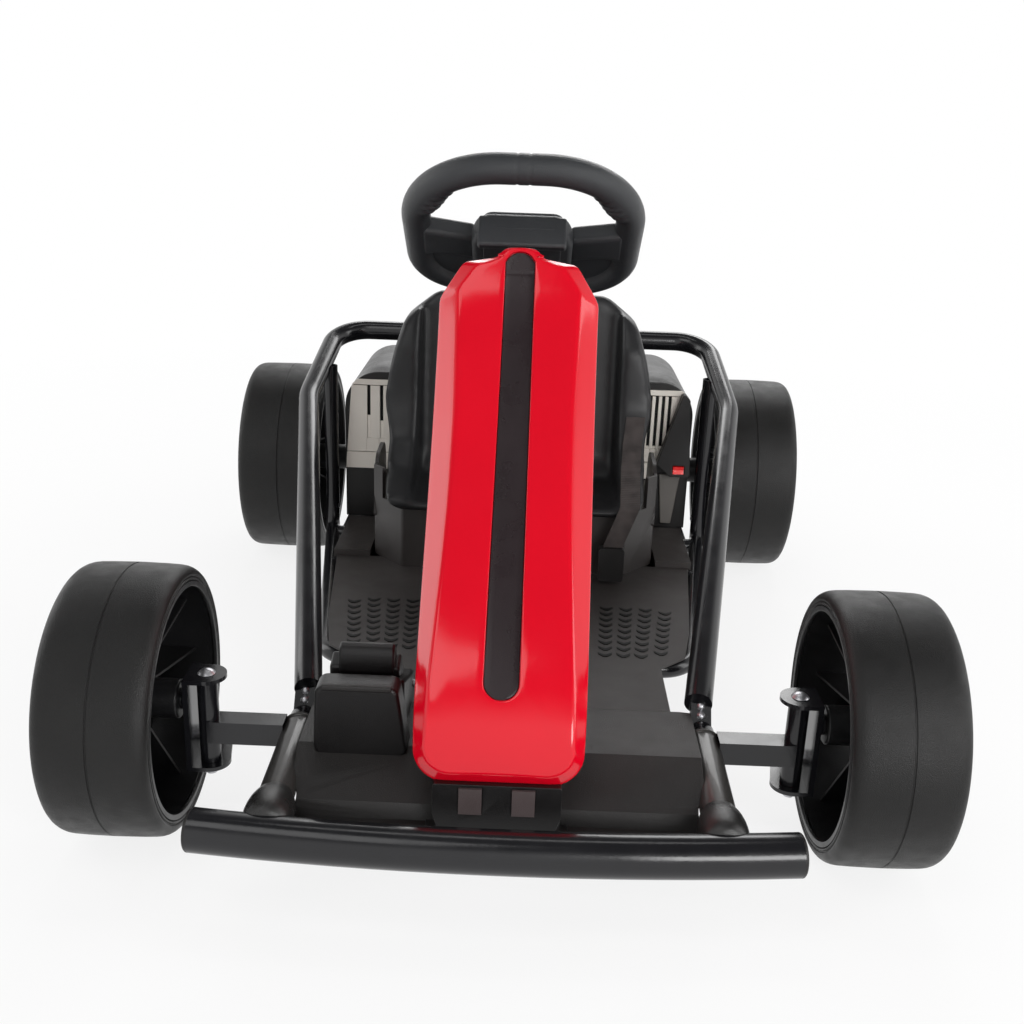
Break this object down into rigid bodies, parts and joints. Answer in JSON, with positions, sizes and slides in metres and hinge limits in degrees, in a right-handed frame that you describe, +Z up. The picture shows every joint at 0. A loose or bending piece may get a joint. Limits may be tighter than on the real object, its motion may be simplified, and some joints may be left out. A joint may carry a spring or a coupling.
{
  "type": "kart chassis",
  "caption": "Child's electric kart: a tubular frame with a floor tray, bucket seat, steering wheel on a raked column behind a raised hood, steered front wheels and driven rear wheels.",
  "frame": {"origin": "on the ground, under the middle of the overall length and width", "axes": "+X to the driver's left, +Y to the rear, +Z up; the kart faces -Y"},
  "size_m": [0.825, 1.1189, 0.6344],
  "materials": {
    "black_paint": "gloss",
    "floor_plastic": "matte",
    "black_plastic": "satin",
    "seat_plastic": "satin",
    "red_plastic": "gloss",
    "strip_plastic": "satin",
    "grey_plastic": "satin",
    "webbing": "woven",
    "zinc_steel": "zinc plated",
    "tyre": "matte",
    "rim": "satin",
    "grip": "matte",
    "boot_rubber": "matte",
    "motor_can": "satin",
    "battery_case": "matte",
    "cast_aluminium": "cast",
    "red_lamp": "gloss"
  },
  "bodies": {
    "chassis": {"front_bumper": "black_paint", "front_struts": "black_paint", "front_beam": "black_paint", "kingpin_bosses": "black_paint", "side_tube_left": "black_paint", "side_tube_right": "black_paint", "rear_hoop": "black_paint", "rear_posts": "black_paint", "floor_rail_tube": "black_paint", "floor_frame_tubes": "black_paint", "rear_runners": "black_paint", "axle_plates": "black_paint", "column_support": "black_paint", "battery_tray": "black_paint", "fairing_stays": "black_paint", "floor_pan": "floor_plastic", "bumper_end_plugs": "black_plastic", "nose_box": "black_plastic", "seat_base": "black_plastic", "rear_casing": "black_plastic", "switch_pod": "black_plastic", "pedal_housing": "black_plastic", "harness_buckle": "black_plastic", "gearboxes": "black_plastic", "column_bearings": "black_plastic", "seat": "seat_plastic", "fairing": "red_plastic", "fairing_strip": "strip_plastic", "nose_bars": "grey_plastic", "vent_panels": "grey_plastic", "harness_straps": "webbing", "kingpin_bolts": "zinc_steel", "frame_bolts": "zinc_steel", "rear_axle": "zinc_steel", "pedal_pin": "zinc_steel", "pedal_spring": "zinc_steel", "harness_tongue": "zinc_steel", "strut_boots": "boot_rubber", "drive_motors": "motor_can", "battery_pack": "battery_case", "motor_controller": "cast_aluminium"},
    "steering": {"steering_column": "zinc_steel", "steering_wheel": "grip", "wheel_hub_shells": "black_plastic"},
    "horn_left": {"horn_button_left": "grip"},
    "horn_right": {"horn_button_right": "grip"},
    "knuckle_left": {"knuckle_left": "black_paint"},
    "knuckle_right": {"knuckle_right": "black_paint"},
    "tie_bar": {"tie_bar": "zinc_steel"},
    "front_wheel_left": {"front_tyre_left": "tyre", "front_rim_left": "rim"},
    "front_wheel_right": {"front_tyre_right": "tyre", "front_rim_right": "rim"},
    "rear_wheel_left": {"rear_tyre_left": "tyre", "rear_rim_left": "rim"},
    "rear_wheel_right": {"rear_tyre_right": "tyre", "rear_rim_right": "rim"},
    "pedal": {"accelerator_pedal": "black_plastic"},
    "rocker": {"power_rocker": "red_lamp"}
  },
  "joints": [
    {"name": "steering_turn", "type": "hinge", "parent": "chassis", "child": "steering", "pos_m": [0, -0.34878, 0.08548], "axis": [0, 0.6004, 0.7997], "range_deg": [-40, 40]},
    {"name": "horn_left_press", "type": "slide", "parent": "steering", "child": "horn_left", "axis": [0, -0.6004, -0.7997], "range_m": [0, 0.0025], "stiffness_N_per_m": 300, "springref_m": -0.001},
    {"name": "horn_right_press", "type": "slide", "parent": "steering", "child": "horn_right", "axis": [0, -0.6004, -0.7997], "range_m": [0, 0.0025], "stiffness_N_per_m": 300, "springref_m": -0.001},
    {"name": "knuckle_left_turn", "type": "hinge", "parent": "chassis", "child": "knuckle_left", "pos_m": [0.283, -0.3715, 0.11], "axis": [0, 0, 1], "range_deg": [-24, 24]},
    {"name": "knuckle_right_turn", "type": "hinge", "parent": "chassis", "child": "knuckle_right", "pos_m": [-0.283, -0.3715, 0.11], "axis": [0, 0, 1], "range_deg": [-24, 24]},
    {"name": "tie_bar_pivot", "type": "hinge", "parent": "knuckle_left", "child": "tie_bar", "pos_m": [0.283, -0.3255, 0.068], "axis": [0, 0, 1], "range_deg": [-24, 24]},
    {"name": "front_wheel_left_spin", "type": "hinge", "parent": "knuckle_left", "child": "front_wheel_left", "pos_m": [0.354, -0.3715, 0.13], "axis": [1, 0, 0], "continuous": true},
    {"name": "front_wheel_right_spin", "type": "hinge", "parent": "knuckle_right", "child": "front_wheel_right", "pos_m": [-0.354, -0.3715, 0.13], "axis": [1, 0, 0], "continuous": true},
    {"name": "rear_wheel_left_spin", "type": "hinge", "parent": "chassis", "child": "rear_wheel_left", "pos_m": [0.353, 0.4145, 0.145], "axis": [1, 0, 0], "continuous": true},
    {"name": "rear_wheel_right_spin", "type": "hinge", "parent": "chassis", "child": "rear_wheel_right", "pos_m": [-0.353, 0.4145, 0.145], "axis": [1, 0, 0], "continuous": true},
    {"name": "pedal_press", "type": "hinge", "parent": "chassis", "child": "pedal", "pos_m": [-0.128, -0.3265, 0.133], "axis": [1, 0, 0], "range_deg": [0, 12], "stiffness_Nm_per_rad": 1.5, "springref_deg": -17.19},
    {"name": "rocker_tilt", "type": "hinge", "parent": "chassis", "child": "rocker", "pos_m": [0.24, 0.2999, 0.178], "axis": [1, 0, 0], "range_deg": [-7, 7]}
  ],
  "couplings": [
    {"joint": "knuckle_left_turn", "follows": "steering_turn", "ratio": 0.6},
    {"joint": "knuckle_right_turn", "follows": "steering_turn", "ratio": 0.6},
    {"joint": "tie_bar_pivot", "follows": "steering_turn", "ratio": -0.6}
  ]
}
